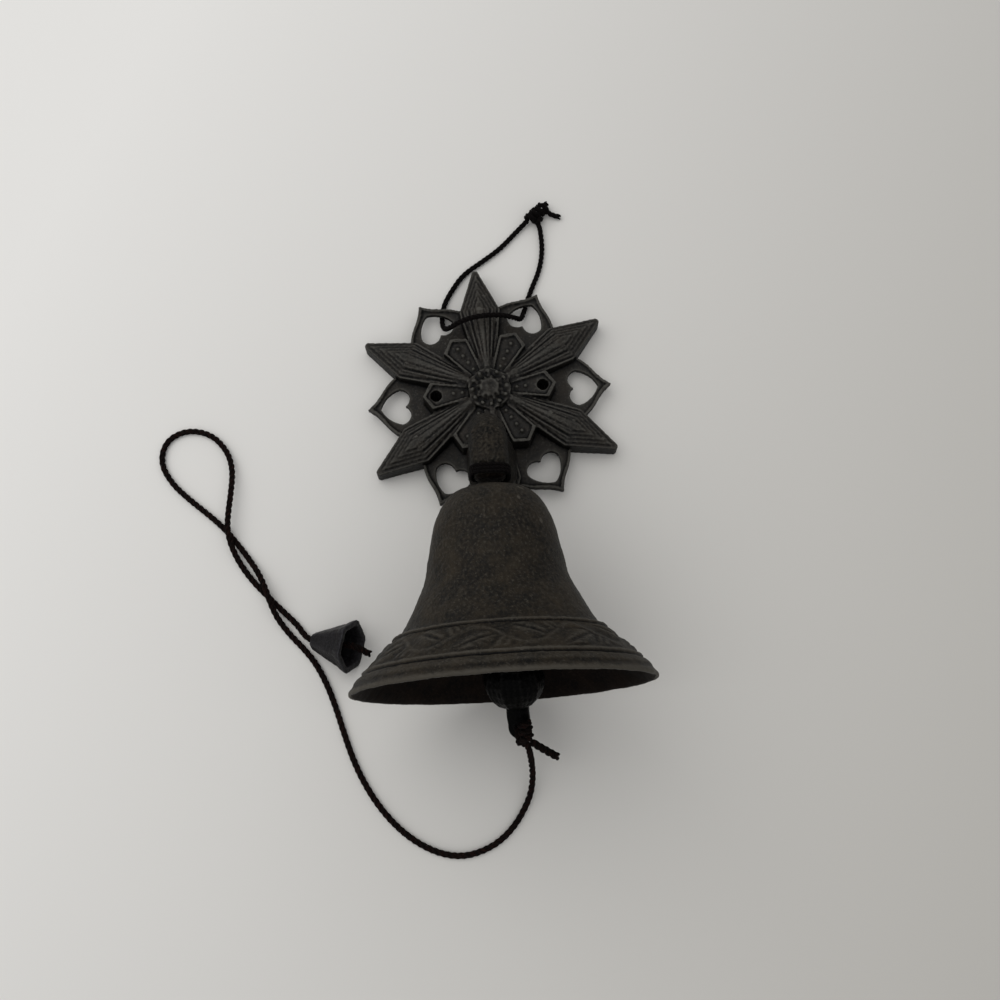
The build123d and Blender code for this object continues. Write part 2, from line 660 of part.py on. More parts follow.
swing_at = (hang * Pos(at_bell(-crown_gap / 2))).position
clapper_at = (hang * Pos(at_bell(clapper_s))).position
ball_at = (hang * on_clapper(hanger_length)).position
print("bell pivot", swing_at, "clapper pivot", clapper_at, "ball", ball_at, "tilt", clapper_tilt)
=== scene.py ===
# %% [markdown]
# This is a dinner bell of cast iron, laid on its back on a pale table: a plate with six petals and
# six heart-shaped openings, an arm, a bell tied to the arm's tip, a clapper, and cords of twisted yarn.
# The sizes and places come from the CAD model, which is loaded first and never changed. Each piece
# below is either a CAD node with a better finish, or a new mesh that stands for one.

# %% The frame and the tools
import math

import bpy
from mathutils import Matrix, Vector, noise


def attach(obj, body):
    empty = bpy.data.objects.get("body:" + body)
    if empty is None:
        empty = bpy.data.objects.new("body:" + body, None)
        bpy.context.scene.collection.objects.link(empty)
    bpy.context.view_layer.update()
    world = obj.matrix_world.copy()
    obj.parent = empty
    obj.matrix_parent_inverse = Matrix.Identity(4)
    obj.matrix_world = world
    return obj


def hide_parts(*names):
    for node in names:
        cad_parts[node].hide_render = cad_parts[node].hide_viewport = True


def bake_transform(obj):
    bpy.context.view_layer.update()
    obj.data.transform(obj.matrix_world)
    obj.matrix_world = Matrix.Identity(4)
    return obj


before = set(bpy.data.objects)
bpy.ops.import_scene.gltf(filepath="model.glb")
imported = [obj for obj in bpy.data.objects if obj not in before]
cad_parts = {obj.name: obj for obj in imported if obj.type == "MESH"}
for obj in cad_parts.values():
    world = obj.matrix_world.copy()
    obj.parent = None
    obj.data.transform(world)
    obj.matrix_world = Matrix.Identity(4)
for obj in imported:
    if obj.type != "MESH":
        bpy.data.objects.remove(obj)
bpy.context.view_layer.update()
mm = 0.001

# %% [markdown]
# The photograph was taken by hand from above, a little towards the bell's mouth. The bell's rim and the
# plate's six tips gave the camera's place, its tilt and its lens, so the render lines up with the picture.

# %% The camera
camera_place = (-13.8 * mm, -152.1 * mm, 412.5 * mm)
camera_tilt = math.radians(15.2)
camera_turn = math.radians(-6.7)
lens_mm = 39.6
sensor_mm = 36
nearest_seen = 0.01

bpy.ops.object.camera_add(location=camera_place, rotation=(camera_tilt, 0, camera_turn))
camera = bpy.context.object
camera.name = "camera"
camera.data.lens = lens_mm
camera.data.sensor_width = sensor_mm
camera.data.clip_start = nearest_seen
bpy.context.scene.camera = camera
bpy.context.scene.view_settings.view_transform = "Standard"
print("camera at", camera_place, "with a lens of", lens_mm, "mm")

# %% [markdown]
# A few small helpers come first. Operators act on all that is selected, so everything is deselected
# before each new piece. A finished piece's place is in its mesh and its object stays at the origin.

# %% Helpers for pieces
merge_within = 0.001 * mm


def deselect():
    """Nothing is selected, so that the next operator acts on the new piece alone."""
    bpy.ops.object.select_all(action="DESELECT")


def choose(piece):
    """Only this piece is selected and active."""
    deselect()
    piece.select_set(True)
    bpy.context.view_layer.objects.active = piece


def copy_of(node, name):
    """A copy of a CAD node with its own mesh, its loose triangles merged."""
    deselect()
    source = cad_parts[node]
    piece = bpy.data.objects.new(name, source.data.copy())
    bpy.context.scene.collection.objects.link(piece)
    choose(piece)
    piece.data.materials.clear()
    bpy.ops.object.mode_set(mode="EDIT")
    bpy.ops.mesh.select_all(action="SELECT")
    bpy.ops.mesh.remove_doubles(threshold=merge_within)
    bpy.ops.object.mode_set(mode="OBJECT")
    return piece


def modify(piece, kind, **settings):
    """Adds a modifier with its settings and applies it."""
    choose(piece)
    modifier = piece.modifiers.new(kind.lower(), kind)
    for name, value in settings.items():
        setattr(modifier, name, value)
    bpy.ops.object.modifier_apply(modifier=modifier.name)


def smooth_shade(piece):
    """Shades the piece as one smooth skin."""
    choose(piece)
    bpy.ops.object.shade_smooth()


def triangles(piece):
    """How many triangles the piece's faces make."""
    return sum(len(face.vertices) - 2 for face in piece.data.polygons)


def finished(piece, material, body, slot, *nodes):
    """Gives the piece its material and its body, and hides the CAD nodes that it stands for. slot is not
    used.
    """
    piece.data.materials.clear()
    piece.data.materials.append(material)
    if body:
        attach(piece, body)
    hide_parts(*nodes)
    print(piece.name, "stands for", *nodes, "with", triangles(piece), "triangles")


# %% [markdown]
# A sand casting is never as sharp as a drawing: its edges are soft, the wooden pattern leaves slow waves
# and the sand leaves a grain. A voxel remesh makes one even skin of a piece, a few rounds of smoothing
# soften its edges, and two cloud patterns roughen it. The bell is finely modelled already and is only
# roughened. The grains are drawn about 1 mm wide, which is coarser than sand, so that they show.

# %% The skin of a sand casting
wave_mm = 7
grain_mm = 1.1
cloud_depth = 2             # each pattern is a noise with two finer ones on it


def lumps(name, size_mm):
    """A cloud pattern whose lumps are about this large, for a Displace modifier."""
    clouds = bpy.data.textures.new(name, "CLOUDS")
    clouds.noise_scale = size_mm * mm
    clouds.noise_depth = cloud_depth
    return clouds


def roughen(piece, waves, grains):
    """Moves the skin in and out by slow waves and by grains of sand, as high as given."""
    for pattern, size_mm, height in (("_waves", wave_mm, waves), ("_grain", grain_mm, grains)):
        modify(piece, "DISPLACE", texture=lumps(piece.name + pattern, size_mm), strength=height * mm,
               mid_level=0.5)


def soften(piece, voxel, smooth_rounds):
    """One even skin of small faces, with its edges rounded."""
    modify(piece, "REMESH", mode="VOXEL", voxel_size=voxel * mm)
    modify(piece, "SMOOTH", factor=0.5, iterations=smooth_rounds)


def sand_cast(piece, voxel, smooth_rounds, waves, grains, limit=190000):
    """The whole skin of a sand casting, in at most this many triangles."""
    soften(piece, voxel, smooth_rounds)
    roughen(piece, waves, grains)
    if triangles(piece) > limit:
        modify(piece, "DECIMATE", ratio=limit / triangles(piece))
    smooth_shade(piece)


def rest_on_table(piece):
    """Keeps the roughened skin from dipping under the table."""
    for vertex in piece.data.vertices:
        vertex.co.z = max(vertex.co.z, 0.0)


# %% [markdown]
# Materials are written with one helper that adds a node, its settings and its links. Colours are
# sRGB hex values as a paint chart gives them, and one function turns them to the linear numbers that
# the renderer works with. A Mix node has sockets for each kind of data, so its sockets for colours are
# named here by their numbers.

# %% Helpers for materials
factor, under, over, mixed = 0, 6, 7, 2


def linear(hex_colour):
    """An sRGB hex colour as linear red, green, blue and alpha, by the formula of the sRGB standard."""
    shares = [int(hex_colour[i:i + 2], 16) / 255 for i in (1, 3, 5)]
    return tuple(s / 12.92 if s <= 0.04045 else ((s + 0.055) / 1.055) ** 2.4 for s in shares) + (1.0,)


def add(material, kind, inputs=None, stops=(), **settings):
    """Adds a node. inputs gives each socket a value or a link, and stops the two ends of a ramp."""
    node = material.node_tree.nodes.new(kind)
    for name, value in settings.items():
        setattr(node, name, value)
    for socket, value in (inputs or {}).items():
        if isinstance(value, bpy.types.NodeSocket):
            material.node_tree.links.new(value, node.inputs[socket])
        else:
            node.inputs[socket].default_value = value
    for i, (place, shade) in enumerate(stops):
        node.color_ramp.elements[i].position = place
        node.color_ramp.elements[i].color = shade
    return node


def blank(name):
    """A new material with an empty node tree."""
    material = bpy.data.materials.new(name)
    material.use_nodes = True
    material.node_tree.nodes.clear()
    return material


def grey(share):
    """A grey for a mask, from 0 for black to 1 for white."""
    return (share, share, share, 1)


def per_metre(size_mm):
    """The noise scale at which a pattern's features are about this large on Object coordinates."""
    return 1 / (size_mm * mm)


# %% [markdown]
# The iron has a thin dark finish, a wax or a flat oil paint burnt on. It looks brown-black, with cloudy
# patches and small specks of brown where rust shows through, and with paler grains of sand. A picture of
# rust could be wrapped round it, but three noises on the piece's own coordinates have no seam and keep
# their size in millimetres. A ramp turns each noise to a mask, and each mask lays a shade over the last.

# %% Patches, specks and sand
speck_mm = 1.1
sand_mm = 0.8               # grains are 0.2 to 0.5 mm wide, and drawn coarser so that they show


def mottled(iron, place, patches, sand, dark, brown, rubbed_and_highlight):
    """The dark finish with its brown patches, brown specks and paler grains."""
    patch_mask = add(iron, "ShaderNodeValToRGB", {"Fac": patches.outputs["Fac"]},
                     stops=[(0.42, grey(0)), (0.68, grey(1))])
    specks = add(iron, "ShaderNodeTexNoise",
                 {"Vector": place, "Scale": per_metre(speck_mm), "Detail": 4.0, "Roughness": 0.7})
    speck_mask = add(iron, "ShaderNodeValToRGB", {"Fac": specks.outputs["Fac"]},
                     stops=[(0.45, grey(0)), (0.75, grey(1))])
    sand_mask = add(iron, "ShaderNodeValToRGB", {"Fac": sand.outputs["Fac"]},
                    stops=[(0.56, grey(0)), (0.68, grey(0.65))])
    colour = linear(dark)
    for mask, shade in ((patch_mask, brown), (speck_mask, brown), (sand_mask, rubbed_and_highlight)):
        layer = add(iron, "ShaderNodeMix",
                    {factor: mask.outputs["Color"], under: colour, over: linear(shade)}, data_type="RGBA")
        colour = layer.outputs[mixed]
    return colour


# %% [markdown]
# Hands and cords rub the finish off the edges, and the edges are drawn paler: wear, and also a painted
# highlight. The hollows and the steep sides of the relief are drawn darker as painted shade. It could be
# painted by hand on each piece. Pointiness tells edges from hollows and the way a face points tells sides
# from fronts, so one function gives every casting this wear, painted highlight and painted shade in the same
# way.


# %% Edges, hollows and sides
def worn_and_shaded(iron, coordinates, colour, rubbed_and_highlight, wall_shade):
    """Paler edges as wear and painted highlight, darker hollows and sides as painted shade. The last
    argument is the share of colour that the sides keep.
    """
    shape = add(iron, "ShaderNodeNewGeometry")
    # paler edges by pointiness: wear, and also a painted highlight on rims and ribs
    edge_wear_and_highlight_mask = add(iron, "ShaderNodeValToRGB", {"Fac": shape.outputs["Pointiness"]},
                    stops=[(0.502, grey(0)), (0.545, grey(1))])
    worn_and_highlit = add(iron, "ShaderNodeMix",
               {factor: edge_wear_and_highlight_mask.outputs["Color"], under: colour, over: linear(rubbed_and_highlight)}, data_type="RGBA")
    # painted shade: the hollows are darkened, down to nearly black
    hollow_shade_mask = add(iron, "ShaderNodeValToRGB", {"Fac": shape.outputs["Pointiness"]},
                      stops=[(0.465, grey(0.02)), (0.498, grey(1))])
    # painted shade: faces that point sideways or down are darkened, to the wall share at the steepest
    facing = add(iron, "ShaderNodeSeparateXYZ", {"Vector": coordinates.outputs["Normal"]})
    wall_shade_mask = add(iron, "ShaderNodeValToRGB", {"Fac": facing.outputs["Z"]},
                    stops=[(0.3, grey(wall_shade)), (0.96, grey(1))])
    colour = worn_and_highlit.outputs[mixed]
    # painted shade: the hollow and side masks darken the colour
    for mask in (hollow_shade_mask, wall_shade_mask):
        shade_layer = add(iron, "ShaderNodeMix", {factor: 1.0, under: colour, over: mask.outputs["Color"]},
                    data_type="RGBA", blend_type="MULTIPLY")
        colour = shade_layer.outputs[mixed]
    return colour


# %% [markdown]
# The plate is the greyest casting. The arm and the bell are browner, the clapper stays nearly black, and the
# weight is worn smooth by the hand. The bell's inside and the arm's tip take a nearly black iron as painted
# shade.
# They are one material with other numbers: three colours, the third paler for wear and painted highlight on
# edges, the size of the patches, the roughness, the gloss, the height of the grain, and the share of colour
# that the sides keep under painted shade.

# %% Cast iron
rough_spread = 0.12         # how much rougher or smoother than the rest a patch can be
sand_depth = 0.3 * mm


def cast_iron(name, dark, brown, rubbed_and_highlight, patch_mm, roughness, gloss, grain_bump=0.5, wall_shade=1.0):
    """Cast iron under a dark finish, mottled and grained, with paler edges of wear and painted highlight and
    darker hollows and sides of painted shade.
    """
    iron = blank(name)
    coordinates = add(iron, "ShaderNodeTexCoord")
    place = coordinates.outputs["Object"]
    patches = add(iron, "ShaderNodeTexNoise",
                  {"Vector": place, "Scale": per_metre(patch_mm), "Detail": 6.0, "Roughness": 0.62})
    sand = add(iron, "ShaderNodeTexNoise",
               {"Vector": place, "Scale": per_metre(sand_mm), "Detail": 4.0, "Roughness": 0.6})
    colour = mottled(iron, place, patches, sand, dark, brown, rubbed_and_highlight)
    colour = worn_and_shaded(iron, coordinates, colour, rubbed_and_highlight, wall_shade)
    rough = add(iron, "ShaderNodeMapRange",
                {"Value": patches.outputs["Fac"], "To Min": roughness - rough_spread,
                 "To Max": roughness + rough_spread})
    bump = add(iron, "ShaderNodeBump",
               {"Height": sand.outputs["Fac"], "Strength": grain_bump, "Distance": sand_depth})
    shader = add(iron, "ShaderNodeBsdfPrincipled",
                 {"Base Color": colour, "Roughness": rough.outputs["Result"],
                  "Normal": bump.outputs["Normal"], "Specular IOR Level": gloss})
    add(iron, "ShaderNodeOutputMaterial", {"Surface": shader.outputs["BSDF"]})
    print(name, len(iron.node_tree.nodes), "nodes")
    return iron


# the last number for the plate and the arm is the share of colour that the relief's sides keep under painted
# shade
plate_iron = cast_iron("sand_cast_iron_plate", "#201f1d", "#2b2722", "#45433e", 9, 0.5, 0.1, wall_shade=0.3)
arm_iron = cast_iron("sand_cast_iron_arm", "#0e0d0b", "#29241d", "#38342d", 4, 0.6, 0.08, 1.0, wall_shade=0.4)
bell_iron = cast_iron("sand_cast_iron_bell", "#110f0c", "#2a241b", "#413d36", 9, 0.55, 0.1, 0.9)
# painted shade: this nearly black iron goes on the bell's inside and the arm's tip
painted_shade_iron = cast_iron("sand_cast_iron_painted_shade", "#0a0807", "#17110d", "#221c18", 9, 0.7, 0.03)
clapper_iron = cast_iron("sand_cast_iron_clapper", "#020202", "#040403", "#161514", 5, 0.34, 0.03)
weight_iron = cast_iron("sand_cast_iron_weight", "#131213", "#1b191a", "#333235", 5, 0.42, 0.1)

# %% [markdown]
# The cords are three yarns of brown-black polyester twisted to the right. They are dull, and a little
# reddish and grey fibre shows in the yarn. The pattern reads an attribute that goes round and along each
# yarn, so the fibres follow the twist. One unit of it is a yarn's radius of 0.6 mm round the yarn, and
# 2 mm along it. Real fibres are far too fine to show, so they are drawn as streaks 0.2 mm wide.

# %% Twisted cord
streak_scale = 3.2
tuft_scale = 0.8            # tufts of one colour, 2.5 mm long
streak_depth = 0.1 * mm


def twisted_yarn(name, dark, reddish, pale):
    """Dull fibres along each yarn, mixed from three shades."""
    yarn = blank(name)
    round_and_along = add(yarn, "ShaderNodeAttribute", attribute_name="yarn").outputs["Vector"]
    fibres = add(yarn, "ShaderNodeTexNoise",
                 {"Vector": round_and_along, "Scale": streak_scale, "Detail": 3.0})
    fibre_mask = add(yarn, "ShaderNodeValToRGB", {"Fac": fibres.outputs["Fac"]},
                     stops=[(0.35, grey(0)), (0.7, grey(1))])
    tufts = add(yarn, "ShaderNodeTexNoise",
                {"Vector": round_and_along, "Scale": tuft_scale, "Detail": 2.0})
    tuft_mask = add(yarn, "ShaderNodeValToRGB", {"Fac": tufts.outputs["Fac"]},
                    stops=[(0.48, grey(0)), (0.66, grey(1))])
    light = add(yarn, "ShaderNodeMix",
                {factor: tuft_mask.outputs["Color"], under: linear(pale), over: linear(reddish)},
                data_type="RGBA")
    colour = add(yarn, "ShaderNodeMix",
                 {factor: fibre_mask.outputs["Color"], under: linear(dark), over: light.outputs[mixed]},
                 data_type="RGBA")
    bump = add(yarn, "ShaderNodeBump",
               {"Height": fibres.outputs["Fac"], "Strength": 0.6, "Distance": streak_depth})
    shader = add(yarn, "ShaderNodeBsdfPrincipled",
                 {"Base Color": colour.outputs[mixed], "Roughness": 0.85, "Normal": bump.outputs["Normal"],
                  "Specular IOR Level": 0.03, "Sheen Weight": 0.01, "Sheen Roughness": 0.5})
    add(yarn, "ShaderNodeOutputMaterial", {"Surface": shader.outputs["BSDF"]})
    print(name, len(yarn.node_tree.nodes), "nodes")
    return yarn


pull_yarn = twisted_yarn("twisted_polyester_cord", "#040303", "#2d1b17", "#1b1614")
thin_yarn = twisted_yarn("twisted_thin_cord", "#040303", "#131010", "#161312")

# %% [markdown]
# The cords' routes are lists of points along the cords as they lie. A NURBS spline of
# order 3 passes smoothly near them, as a soft cord does, and never leaves the table.

# %% The routes of the two long cords, in millimetres
pull_cord_route = [
    (-1.6, -136.6, 15.6), (-1.1, -140.9, 10.6), (-1.2, -146.0, 6.0), (-2.5, -151.4, 2.8),
    (-5.2, -156.3, 1.4), (-9.1, -161.4, 1.2), (-14.4, -166.0, 1.2), (-20.8, -169.0, 1.2),
    (-28.9, -170.4, 1.2), (-36.9, -168.5, 1.2), (-44.3, -164.2, 1.2), (-51.0, -158.2, 1.2),
    (-57.1, -150.2, 1.2), (-62.1, -140.8, 1.2), (-65.6, -131.2, 1.2), (-68.1, -121.2, 1.2),
    (-70.3, -111.8, 1.2), (-73.0, -103.0, 1.2), (-76.4, -95.4, 1.2), (-80.4, -89.6, 1.2),
    (-85.0, -84.0, 1.2), (-89.0, -77.8, 2.4), (-90.9, -72.2, 4.4), (-92.2, -67.0, 4.4),
    (-95.0, -59.4, 2.6), (-99.4, -51.9, 1.2), (-103.4, -45.7, 1.2), (-107.2, -40.3, 1.2),
    (-112.8, -34.2, 1.2), (-119.7, -27.5, 1.2), (-126.7, -19.8, 1.2), (-130.9, -10.7, 1.2),
    (-128.4, -1.9, 1.2), (-120.0, 1.7, 1.2), (-110.7, -1.1, 1.2), (-104.7, -8.6, 1.6),
    (-102.5, -17.0, 2.8), (-103.5, -26.5, 3.8), (-105.0, -35.3, 4.4), (-105.6, -41.2, 4.4),
    (-104.9, -47.2, 3.2), (-102.4, -54.2, 1.6), (-97.8, -61.9, 1.2), (-92.0, -69.0, 1.2),
    (-86.4, -75.6, 1.2), (-82.0, -80.6, 1.2), (-79.6, -84.9, 1.4), (-76.9, -87.3, 2.5),
    (-72.6, -88.7, 4.1)]
hanging_loop_route = [
    (24.4, 76.6, 2.0), (19.0, 72.1, 1.3), (11.8, 65.5, 1.3), (3.7, 60.5, 1.3), (-4.7, 55.6, 1.3),
    (-10.2, 48.8, 1.3), (-14.0, 42.9, 1.2), (-15.4, 36.3, 1.2), (-15.0, 31.2, 4.1), (-12.9, 28.9, 9.7),
    (-7.8, 29.4, 15.0), (0.6, 29.8, 16.8), (8.8, 29.9, 14.8), (14.4, 30.0, 9.6), (16.3, 31.9, 4.2),
    (18.0, 35.8, 1.3), (20.3, 41.6, 1.2), (22.9, 47.0, 1.2), (26.0, 52.6, 1.3), (28.4, 59.6, 1.3),
    (29.4, 66.6, 1.4), (29.2, 72.2, 2.2)]
print(len(pull_cord_route), "and", len(hanging_loop_route), "points")

# %% [markdown]
# A rope is made as a rope maker makes it: the middle line is cut in even steps, a frame is carried
# along it without twist, and three round yarns wind about it. A turned mesh primitive could not bend
# along a free line, so the yarns' rings are worked out and joined to a mesh.

# %% The middle line of a cord
rope_step = 0.35            # length of one row of faces along a cord
spline_order = 3
points_between = 8          # points of a smooth line from one given point to the next
tiny = 1e-9


def centreline(route):
    """The points of the smooth line along a route in millimetres, in metres."""
    curve = bpy.data.curves.new("route", "CURVE")
    curve.dimensions = "3D"
    curve.resolution_u = points_between
    spline = curve.splines.new("NURBS")
    spline.points.add(len(route) - 1)
    for point, place in zip(spline.points, route):
        point.co = (*(value * mm for value in place), 1)
    spline.order_u = spline_order
    spline.use_endpoint_u = True
    holder = bpy.data.objects.new("route", curve)
    line = bpy.data.meshes.new_from_object(holder)
    points = [vertex.co.copy() for vertex in line.vertices]
    bpy.data.objects.remove(holder)
    bpy.data.curves.remove(curve)
    bpy.data.meshes.remove(line)
    return points


def evenly(points, step):
    """The same line in equal steps."""
    lengths = [0.0]
    for a, b in zip(points, points[1:]):
        lengths.append(lengths[-1] + (b - a).length)
    count = max(2, round(lengths[-1] / step))
    even, i = [], 0
    for k in range(count + 1):
        along = lengths[-1] * k / count
        while i < len(points) - 2 and lengths[i + 1] < along:
            i += 1
        share = (along - lengths[i]) / max(lengths[i + 1] - lengths[i], tiny)
        even.append(points[i].lerp(points[i + 1], share))
    return even


def rows_along(points):
    """For each point: its place, the line's direction, two square directions and the length so far."""
    rows, normal, along = [], None, 0.0
    for i, place in enumerate(points):
        before, after = points[max(i - 1, 0)], points[min(i + 1, len(points) - 1)]
        ahead = (after - before).normalized()
        normal = ahead.orthogonal() if normal is None else normal
        normal = (normal - ahead * normal.dot(ahead)).normalized()
        along += (place - points[i - 1]).length if i else 0.0
        rows.append((place, ahead, normal, ahead.cross(normal), along))
    return rows


def route_rows(route):
    """The even rows of a cord along a route in millimetres."""
    return rows_along(evenly(centreline(route), rope_step * mm))


# %% [markdown]
# Each yarn is a tube of eight sides on a screw line round the middle. A cut end frays: over its last
# millimetres the yarns go apart and get thinner.

# %% The rope
yarns = 3
yarn_sides = 8
yarn_share = 0.25           # of the cord's diameter: a yarn's radius, and its distance from the middle
frayed_thinner = 0.3
frayed_wider = 0.45
fibre_turns = 1.5           # turns of the fibres for each turn of the yarn round the cord
pattern_mm = 2              # length along the yarn of one unit of the pattern
pattern_apart = 40.0        # between one yarn's pattern and the next, so that no two are the same


def rope(name, rows, diameter_mm, lay_mm, frayed_mm=0.0):
    """Yarns twisted round each other along the rows, with a yarn's whole turn in each lay."""
    vertices, faces, pattern = [], [], []
    last = rows[-1][4]
    for k in range(yarns):
        first = len(vertices)
        for place, ahead, normal, side, along in rows:
            open_by = max(0.0, 1 - (last - along) / (frayed_mm * mm)) if frayed_mm else 0.0
            yarn_r = yarn_share * diameter_mm * mm * (1 - frayed_thinner * open_by)
            off = yarn_share * diameter_mm * mm * (1 + frayed_wider * open_by)
            turn = 2 * math.pi * (along / (lay_mm * mm) + k / yarns)
            out = math.cos(turn) * normal + math.sin(turn) * side
            round_it = math.cos(turn) * side - math.sin(turn) * normal
            yarn_ahead = (ahead + round_it * (2 * math.pi * off / (lay_mm * mm))).normalized()
            across = yarn_ahead.cross(out)
            for j in range(yarn_sides):
                a = 2 * math.pi * j / yarn_sides
                vertices.append(place + off * out + yarn_r * (math.cos(a) * out + math.sin(a) * across))
                fibre = a - fibre_turns * turn
                pattern += [math.cos(fibre), math.sin(fibre),
                            along / (pattern_mm * mm) + pattern_apart * k]
        for i in range(len(rows) - 1):
            for j in range(yarn_sides):
                a = first + i * yarn_sides + j
                b = first + i * yarn_sides + (j + 1) % yarn_sides
                faces.append((a, b, b + yarn_sides, a + yarn_sides))
        faces.append(tuple(range(first + yarn_sides - 1, first - 1, -1)))
        faces.append(tuple(range(len(vertices) - yarn_sides, len(vertices))))
    mesh = bpy.data.meshes.new(name)
    mesh.from_pydata(vertices, [], faces)
    mesh.attributes.new("yarn", "FLOAT_VECTOR", "POINT").data.foreach_set("vector", pattern)
    piece = bpy.data.objects.new(name, mesh)
    bpy.context.scene.collection.objects.link(piece)
    smooth_shade(piece)
    return piece


def joined(first, *rest):
    """The pieces as one."""
    choose(first)
    for piece in rest:
        piece.select_set(True)
    bpy.ops.object.join()
    return first


# %% [markdown]
# The pull cord goes from the clapper's knot to the small weight. It crosses two joints, and it is made along
# one
# line and cut in two: the first part runs from the clapper's knot near the bell, and the second goes on to
# the weight on the table. Neither part is attached to a moving body.

# %% The pull cord
pull_cord_d = 2.4
pull_lay = 7.0              # length in which a yarn goes once round the cord
cut_point = Vector((-48 * mm, -161 * mm, 1.2 * mm))     # where the two parts meet

pull_rows = route_rows(pull_cord_route)
cut = min(range(len(pull_rows)), key=lambda i: (pull_rows[i][0] - cut_point).length)
pull_upper = rope("pull_cord_upper", pull_rows[:cut + 1], pull_cord_d, pull_lay)
pull_lower = rope("pull_cord_lower", pull_rows[cut:], pull_cord_d, pull_lay)
finished(pull_upper, pull_yarn, None, "pull_cord", "pull_cord")
finished(pull_lower, pull_yarn, None, "pull_cord", "pull_cord")
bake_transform(pull_upper)
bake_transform(pull_lower)
print("pull cord", round(pull_rows[-1][4] / mm), "mm, cut at", round(pull_rows[cut][4] / mm))

# %% [markdown]
# The hanging loop is a thinner cord of the same make. It goes through two of the plate's hearts and over
# the iron between them, and only lies there, so it moves with the plate as one piece.

# %% The hanging loop
thin_cord_d = 2.2
thin_lay = 6.0

loop_rows = route_rows(hanging_loop_route)
hanging_loop = rope("hanging_cord", loop_rows, thin_cord_d, thin_lay)
finished(hanging_loop, thin_yarn, "plate", "thin_cord", "hanging_loop")
print("hanging loop", round(loop_rows[-1][4] / mm), "mm")

# %% [markdown]
# The bell hangs from the arm's tip, a few degrees off the plate's upright, and the clapper's line leans
# down inside it. Matrices give places on those lines from distances in millimetres.

# %% The hanging line and the clapper's line
hang_offset = -2.3          # sideways from the plate's centre
hang_turn = -3.0            # degrees
crown_y = 50.0              # from the plate's centre down to the bell's crown
axis_z = 50.5               # height of the bell's axis
clapper_s = 5.416           # from the crown's top down to the clapper's pivot
clapper_side = 8.5          # degrees
clapper_tilt = 25.05        # degrees


def turned(angle, axis):
    """A turn by so many degrees about an axis."""
    return Matrix.Rotation(math.radians(angle), 4, axis)


hang = Matrix.Translation((hang_offset, 0, 0)) @ turned(hang_turn, "Z")
down_the_bell = hang @ Matrix.Translation((0, -crown_y, axis_z)) @ turned(-90, "Z")
down_the_clapper = (down_the_bell @ Matrix.Translation((clapper_s, 0, 0)) @ turned(clapper_side, "X")
                    @ turned(clapper_tilt, "Y"))
print("crown at", down_the_bell.translation, "and pivot at", down_the_clapper.translation)

# %% [markdown]
# Each knot is a short cord on a route of its own: a few close turns round the standing part, a loop
# through what it holds, and a short cut end that opens a little. A real knot could be simulated, but
# its turns are hidden in each other, and coils and rings look the same from outside.

# %% Coils, rings and knots
coil_points = 8             # points of a route in one turn of a coil
ring_points = 12
fray_mm = 1.8


def coil(place, radius, length, turns, start=0.0):
    """Points of a coil round the X axis of a place, in millimetres."""
    count = round(turns * coil_points)
    points = []
    for i in range(count + 1):
        a = math.radians(start) + 2 * math.pi * i / coil_points
        along = length * (i / count - 0.5)
        points.append(place @ Vector((along, radius * math.cos(a), radius * math.sin(a))))
    return points


def ring(place, radius, start=0):
    """Points of a closed ring round the Z axis of a place, in millimetres."""
    angles = [math.radians(start + 360 * i / ring_points) for i in range(ring_points + 1)]
    return [place @ Vector((radius * math.cos(a), radius * math.sin(a), 0)) for a in angles]


def knot(name, routes, diameter, lay, frayed=fray_mm):
    """A knot from one or more tight routes of cord, joined to one piece."""
    ropes = [rope(f"{name}_{i}", route_rows(route), diameter, lay, frayed_mm=frayed)
             for i, route in enumerate(routes)]
    return joined(*ropes) if len(ropes) > 1 else ropes[0]


# %% [markdown]
# The pull cord is tied to the clapper's lug with two loops through the lug's hole, a few close turns
# beside it and a short tail. The tail's yarns have opened a little, so it is drawn thicker.

# %% The knot on the clapper
lug_hole = 80.65            # along the clapper's line from its pivot
lug_loops = ((-0.7, 2.9), (1.0, 3.2))   # how far beside the lug's middle each loop lies, and its radius
pull_knot_beside = 2.4
pull_knot_before = 4.0
pull_tail_route = [(-0.6, -134.2, 17.6), (3.4, -137.2, 15.6), (8.2, -140.3, 13.4)]
pull_tail_d = 3.0

lug_eye = down_the_clapper @ Matrix.Translation((lug_hole, 0, 0))
pull_knot_at = lug_eye @ Matrix.Translation((0, pull_knot_beside, pull_knot_before))
lug_rings = [ring(lug_eye @ Matrix.Translation((loop_r, beside, 0)) @ turned(90, "X"), loop_r)
             for beside, loop_r in lug_loops]
pull_knot = knot("pull_cord_knot", [
    [*coil(pull_knot_at, radius=1.75, length=6.6, turns=2.6), pull_tail_route[0]], *lug_rings,
    [pull_knot_at @ Vector((-3.4, 0, 0)), pull_knot_at @ Vector((0, 0.4, -0.4)),
     pull_knot_at @ Vector((4.0, -0.6, -0.8)), pull_cord_route[0], pull_cord_route[1]],
], pull_cord_d, pull_lay)
pull_tail = knot("pull_cord_tail", [pull_tail_route], pull_tail_d, pull_lay, frayed=0)
pull_knot = joined(pull_knot, pull_tail)
finished(pull_knot, pull_yarn, "clapper", "pull_cord", "pull_knot")

# %% [markdown]
# The loop's two ends meet in a knot beyond the top petal: one end winds round the other in close turns,
# and both go on a little as loose tails.

